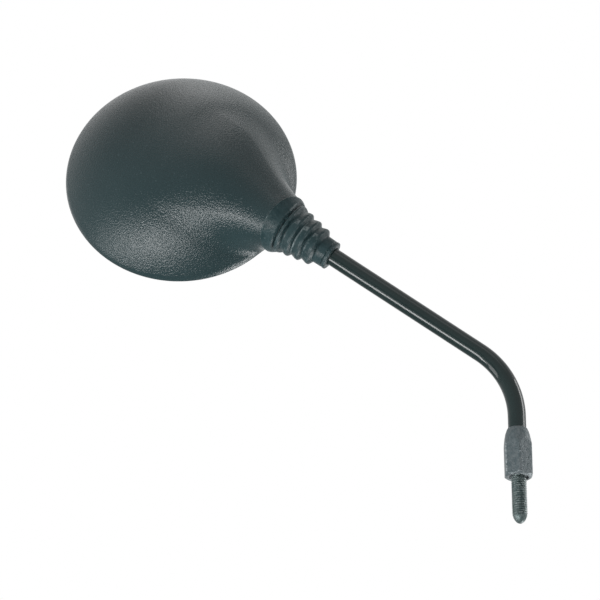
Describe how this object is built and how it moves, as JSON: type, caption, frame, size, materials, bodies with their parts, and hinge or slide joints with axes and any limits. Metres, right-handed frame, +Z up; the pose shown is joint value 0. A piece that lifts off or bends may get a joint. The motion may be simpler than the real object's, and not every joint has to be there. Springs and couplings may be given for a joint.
{
  "type": "motorcycle mirror",
  "caption": "Round convex motorcycle mirror: domed plastic back on a ball joint, bellows boot, bent steel stem, hex adapter and threaded fixing stud.",
  "frame": {"origin": "centre of the hex adapter's lower seat face, on the axis of the threaded stud", "axes": "+Z up along the foot of the stem (the stud points to -Z), the stem bends towards -X in the XZ plane, and the head's domed back faces -Y with the glass facing +Y"},
  "size_m": [0.2394, 0.0499, 0.2667],
  "materials": {
    "stem_black": "gloss",
    "ball_steel": "ground",
    "adapter_black": "satin",
    "stud_black": "black oxide, oiled",
    "boot_rubber": "soft satin",
    "liner_nylon": "smooth",
    "housing_black": "fine grained satin",
    "clamp_zinc": "plain",
    "screw_zinc": "zinc plated",
    "mirror_glass": "polished",
    "gasket_rubber": "satin",
    "foam_grey": "open cell",
    "plate_black": "plain"
  },
  "bodies": {
    "stem": {"stem_tube": "stem_black", "ball_stud": "ball_steel", "hex_adapter": "adapter_black", "threaded_stud": "stud_black"},
    "boot": {"rubber_boot": "boot_rubber"},
    "liner": {"ball_seat_front": "liner_nylon", "ball_seat_rear": "liner_nylon"},
    "head": {"housing_shell": "housing_black", "clamp_plate": "clamp_zinc", "clamp_screw_1": "screw_zinc", "clamp_screw_2": "screw_zinc", "clamp_washer_1": "screw_zinc", "clamp_washer_2": "screw_zinc", "mirror_glass": "mirror_glass", "glass_gasket": "gasket_rubber", "foam_pad": "foam_grey", "backing_plate": "plate_black"}
  },
  "joints": [
    {"name": "head_turn", "type": "hinge", "parent": "stem", "child": "boot", "pos_m": [-0.12139, 0, 0.14711], "axis": [0.8007, 0, -0.599], "continuous": true},
    {"name": "head_tilt", "type": "hinge", "parent": "boot", "child": "liner", "pos_m": [-0.12139, 0, 0.14711], "axis": [0.5953, 0.1118, 0.7957], "range_deg": [-15, 15], "deforming": ["rubber_boot"]},
    {"name": "head_swing", "type": "hinge", "parent": "liner", "child": "head", "pos_m": [-0.12139, 0, 0.14711], "axis": [-0.067, 0.9937, -0.0895], "range_deg": [-15, 15], "deforming": ["rubber_boot"]}
  ]
}
